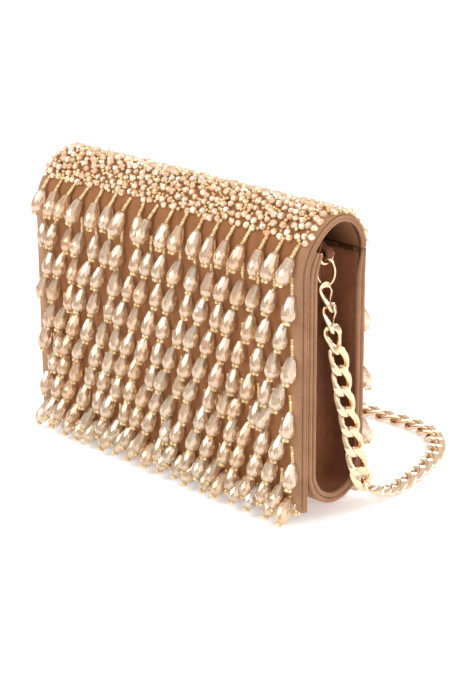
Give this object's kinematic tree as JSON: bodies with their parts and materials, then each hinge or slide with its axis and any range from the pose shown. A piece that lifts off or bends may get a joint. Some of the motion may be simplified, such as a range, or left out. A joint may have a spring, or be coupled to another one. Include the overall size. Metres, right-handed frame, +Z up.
{
  "type": "evening bag",
  "caption": "Small flap-over box bag in suede over boards, with a beaded top, hanging rows of glass drops and a chain shoulder strap.",
  "frame": {"origin": "on the surface that the bag stands on, under the middle of its base", "axes": "+X along the bag's width towards its right end, +Y from the flap's front to the back panel, +Z up"},
  "size_m": [0.2173, 0.1598, 0.152],
  "materials": {
    "tan_suede": "napped suede, caramel tan",
    "gusset_suede": "napped suede, dark brown",
    "edge_suede": "napped suede rolled over the edges, stitched",
    "lining_cloth": "smooth woven lining",
    "card_board": "grey stiffener board, hidden",
    "magnet_steel": "plated magnet disc, hidden",
    "ring_gold": "polished light rose gold plating",
    "chain_rose_gold": "polished light rose gold plating, flat curb links",
    "bead_crystal": "close-set faceted crystals, champagne and peach",
    "fringe_crystal": "faceted champagne drops on pale gold seed beads"
  },
  "bodies": {
    "bag": {"body_cover": "tan_suede", "body_lining": "lining_cloth", "front_board": "card_board", "back_board": "card_board", "base_board": "card_board", "front_magnet": "magnet_steel", "slip_pocket": "lining_cloth", "gusset_left": "gusset_suede", "gusset_right": "gusset_suede", "edge_piping_left": "edge_suede", "edge_piping_right": "edge_suede", "strap_tab_left": "gusset_suede", "strap_tab_right": "gusset_suede", "connector_ring_left": "ring_gold", "connector_ring_right": "ring_gold", "chain_strap": "chain_rose_gold", "base_fringe_front": "fringe_crystal", "base_fringe_back": "fringe_crystal"},
    "flap": {"flap_cover": "tan_suede", "flap_board": "card_board", "flap_lining": "lining_cloth", "flap_magnet": "magnet_steel", "flap_edge_left": "edge_suede", "flap_edge_right": "edge_suede", "bead_field": "bead_crystal"},
    "ring_left": {"d_ring_left": "ring_gold"},
    "ring_right": {"d_ring_right": "ring_gold"},
    "front_tier_01": {"front_fringe_01": "fringe_crystal"},
    "front_tier_02": {"front_fringe_02": "fringe_crystal"},
    "front_tier_03": {"front_fringe_03": "fringe_crystal"},
    "front_tier_04": {"front_fringe_04": "fringe_crystal"},
    "front_tier_05": {"front_fringe_05": "fringe_crystal"},
    "front_tier_06": {"front_fringe_06": "fringe_crystal"},
    "front_tier_07": {"front_fringe_07": "fringe_crystal"},
    "front_tier_08": {"front_fringe_08": "fringe_crystal"},
    "front_tier_09": {"front_fringe_09": "fringe_crystal"},
    "front_tier_10": {"front_fringe_10": "fringe_crystal"},
    "back_tier_01": {"back_fringe_01": "fringe_crystal"},
    "back_tier_02": {"back_fringe_02": "fringe_crystal"},
    "back_tier_03": {"back_fringe_03": "fringe_crystal"},
    "back_tier_04": {"back_fringe_04": "fringe_crystal"},
    "back_tier_05": {"back_fringe_05": "fringe_crystal"},
    "back_tier_06": {"back_fringe_06": "fringe_crystal"},
    "back_tier_07": {"back_fringe_07": "fringe_crystal"},
    "back_tier_08": {"back_fringe_08": "fringe_crystal"},
    "back_tier_09": {"back_fringe_09": "fringe_crystal"}
  },
  "joints": [
    {"name": "flap_hinge", "type": "hinge", "parent": "bag", "child": "flap", "pos_m": [0, 0.02, 0.13], "axis": [-1, 0, 0], "range_deg": [0, 115]},
    {"name": "ring_swing_right", "type": "hinge", "parent": "bag", "child": "ring_right", "pos_m": [0.092, 0.0012, 0.1291], "axis": [0, -1, 0], "range_deg": [-4, 4]},
    {"name": "ring_swing_left", "type": "hinge", "parent": "bag", "child": "ring_left", "pos_m": [-0.092, 0.0012, 0.1291], "axis": [0, 1, 0], "range_deg": [-4, 4]},
    {"name": "front_fringe_swing", "type": "hinge", "parent": "flap", "child": "front_tier_01", "pos_m": [0, -0.01572, 0.13801], "axis": [-1, 0, 0], "range_deg": [0, 20]},
    {"name": "front_fringe_swing_02", "type": "hinge", "parent": "flap", "child": "front_tier_02", "pos_m": [0, -0.0216, 0.1226], "axis": [-1, 0, 0], "range_deg": [0, 20]},
    {"name": "front_fringe_swing_03", "type": "hinge", "parent": "flap", "child": "front_tier_03", "pos_m": [0, -0.0216, 0.1078], "axis": [-1, 0, 0], "range_deg": [0, 20]},
    {"name": "front_fringe_swing_04", "type": "hinge", "parent": "flap", "child": "front_tier_04", "pos_m": [0, -0.0216, 0.093], "axis": [-1, 0, 0], "range_deg": [0, 20]},
    {"name": "front_fringe_swing_05", "type": "hinge", "parent": "flap", "child": "front_tier_05", "pos_m": [0, -0.0216, 0.0782], "axis": [-1, 0, 0], "range_deg": [0, 20]},
    {"name": "front_fringe_swing_06", "type": "hinge", "parent": "flap", "child": "front_tier_06", "pos_m": [0, -0.0216, 0.0657], "axis": [-1, 0, 0], "range_deg": [0, 20]},
    {"name": "front_fringe_swing_07", "type": "hinge", "parent": "flap", "child": "front_tier_07", "pos_m": [0, -0.0216, 0.0532], "axis": [-1, 0, 0], "range_deg": [0, 20]},
    {"name": "front_fringe_swing_08", "type": "hinge", "parent": "flap", "child": "front_tier_08", "pos_m": [0, -0.0216, 0.0407], "axis": [-1, 0, 0], "range_deg": [0, 20]},
    {"name": "front_fringe_swing_09", "type": "hinge", "parent": "flap", "child": "front_tier_09", "pos_m": [0, -0.0216, 0.0282], "axis": [-1, 0, 0], "range_deg": [0, 20]},
    {"name": "front_fringe_swing_10", "type": "hinge", "parent": "flap", "child": "front_tier_10", "pos_m": [0, -0.0216, 0.0157], "axis": [-1, 0, 0], "range_deg": [0, 20]},
    {"name": "back_fringe_swing", "type": "hinge", "parent": "bag", "child": "back_tier_01", "pos_m": [0, 0.0216, 0.1226], "axis": [1, 0, 0], "range_deg": [0, 20]},
    {"name": "back_fringe_swing_02", "type": "hinge", "parent": "bag", "child": "back_tier_02", "pos_m": [0, 0.0216, 0.1078], "axis": [1, 0, 0], "range_deg": [0, 20]},
    {"name": "back_fringe_swing_03", "type": "hinge", "parent": "bag", "child": "back_tier_03", "pos_m": [0, 0.0216, 0.093], "axis": [1, 0, 0], "range_deg": [0, 20]},
    {"name": "back_fringe_swing_04", "type": "hinge", "parent": "bag", "child": "back_tier_04", "pos_m": [0, 0.0216, 0.0782], "axis": [1, 0, 0], "range_deg": [0, 20]},
    {"name": "back_fringe_swing_05", "type": "hinge", "parent": "bag", "child": "back_tier_05", "pos_m": [0, 0.0216, 0.0657], "axis": [1, 0, 0], "range_deg": [0, 20]},
    {"name": "back_fringe_swing_06", "type": "hinge", "parent": "bag", "child": "back_tier_06", "pos_m": [0, 0.0216, 0.0532], "axis": [1, 0, 0], "range_deg": [0, 20]},
    {"name": "back_fringe_swing_07", "type": "hinge", "parent": "bag", "child": "back_tier_07", "pos_m": [0, 0.0216, 0.0407], "axis": [1, 0, 0], "range_deg": [0, 20]},
    {"name": "back_fringe_swing_08", "type": "hinge", "parent": "bag", "child": "back_tier_08", "pos_m": [0, 0.0216, 0.0282], "axis": [1, 0, 0], "range_deg": [0, 20]},
    {"name": "back_fringe_swing_09", "type": "hinge", "parent": "bag", "child": "back_tier_09", "pos_m": [0, 0.0216, 0.0157], "axis": [1, 0, 0], "range_deg": [0, 20]}
  ],
  "couplings": [
    {"joint": "front_fringe_swing_02", "follows": "front_fringe_swing", "ratio": 1},
    {"joint": "front_fringe_swing_03", "follows": "front_fringe_swing", "ratio": 1},
    {"joint": "front_fringe_swing_04", "follows": "front_fringe_swing", "ratio": 1},
    {"joint": "front_fringe_swing_05", "follows": "front_fringe_swing", "ratio": 1},
    {"joint": "front_fringe_swing_06", "follows": "front_fringe_swing", "ratio": 1},
    {"joint": "front_fringe_swing_07", "follows": "front_fringe_swing", "ratio": 1},
    {"joint": "front_fringe_swing_08", "follows": "front_fringe_swing", "ratio": 1},
    {"joint": "front_fringe_swing_09", "follows": "front_fringe_swing", "ratio": 1},
    {"joint": "front_fringe_swing_10", "follows": "front_fringe_swing", "ratio": 1},
    {"joint": "back_fringe_swing_02", "follows": "back_fringe_swing", "ratio": 1},
    {"joint": "back_fringe_swing_03", "follows": "back_fringe_swing", "ratio": 1},
    {"joint": "back_fringe_swing_04", "follows": "back_fringe_swing", "ratio": 1},
    {"joint": "back_fringe_swing_05", "follows": "back_fringe_swing", "ratio": 1},
    {"joint": "back_fringe_swing_06", "follows": "back_fringe_swing", "ratio": 1},
    {"joint": "back_fringe_swing_07", "follows": "back_fringe_swing", "ratio": 1},
    {"joint": "back_fringe_swing_08", "follows": "back_fringe_swing", "ratio": 1},
    {"joint": "back_fringe_swing_09", "follows": "back_fringe_swing", "ratio": 1}
  ]
}
